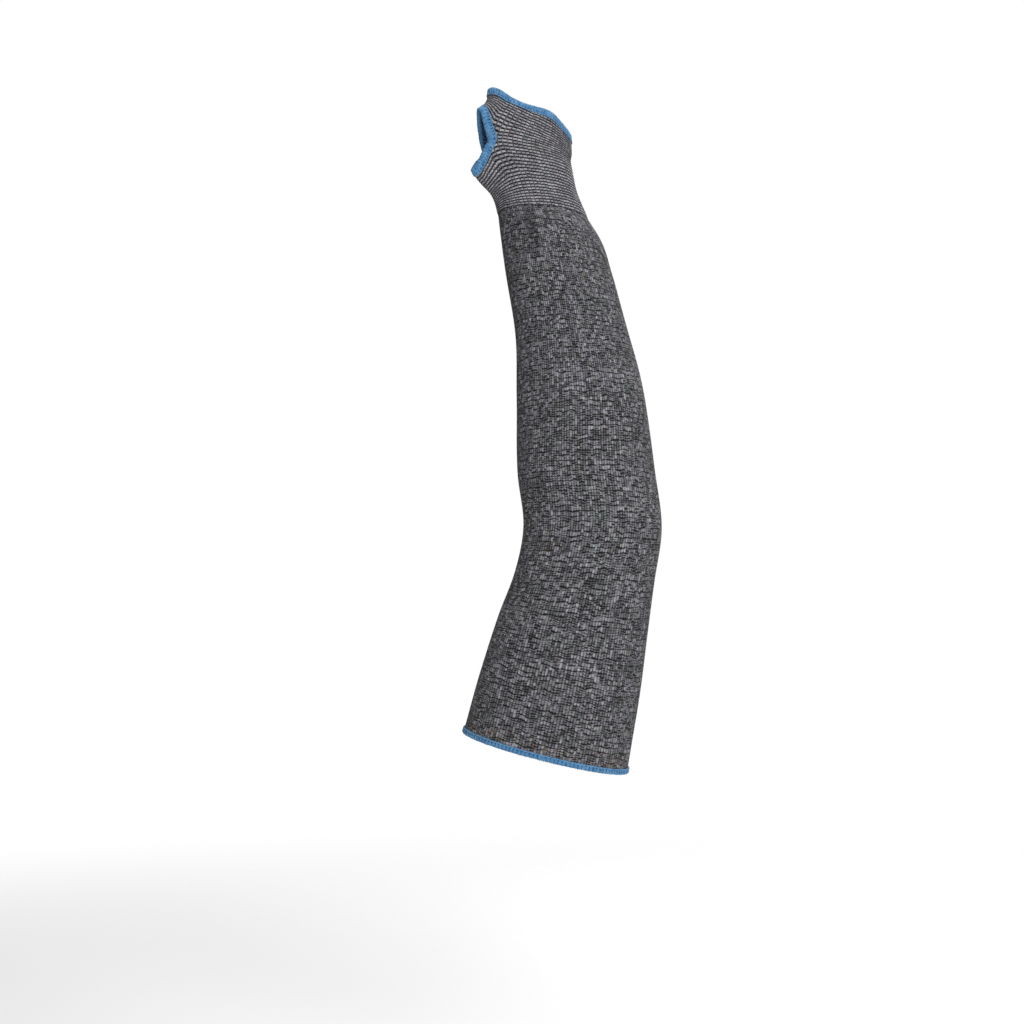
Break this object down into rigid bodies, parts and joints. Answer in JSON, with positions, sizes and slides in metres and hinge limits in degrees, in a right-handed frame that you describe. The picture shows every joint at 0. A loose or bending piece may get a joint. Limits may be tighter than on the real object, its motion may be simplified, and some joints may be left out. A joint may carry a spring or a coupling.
{
  "type": "cut resistant sleeve",
  "caption": "Knitted cut resistant arm sleeve with a loose tube, a tight hand cuff with a thumb hole, and bound edges.",
  "frame": {"origin": "middle of the arm opening, where the upper arm goes in", "axes": "+Z from the arm opening to the hand, +X to the elbow's side, +Y away from the sleeve's outer side"},
  "size_m": [0.1365, 0.1076, 0.4714],
  "materials": {
    "marl_knit": "fine grey marled jersey knit",
    "cuff_knit": "coarse knit with rows of light and dark dashes",
    "blue_thread": "blue overlock thread"
  },
  "bodies": {
    "root": {"arm_tube": "marl_knit", "hand_cuff": "cuff_knit", "arm_hem_binding": "blue_thread", "hand_edge_binding": "blue_thread", "thumb_hole_binding": "blue_thread"}
  },
  "joints": []
}
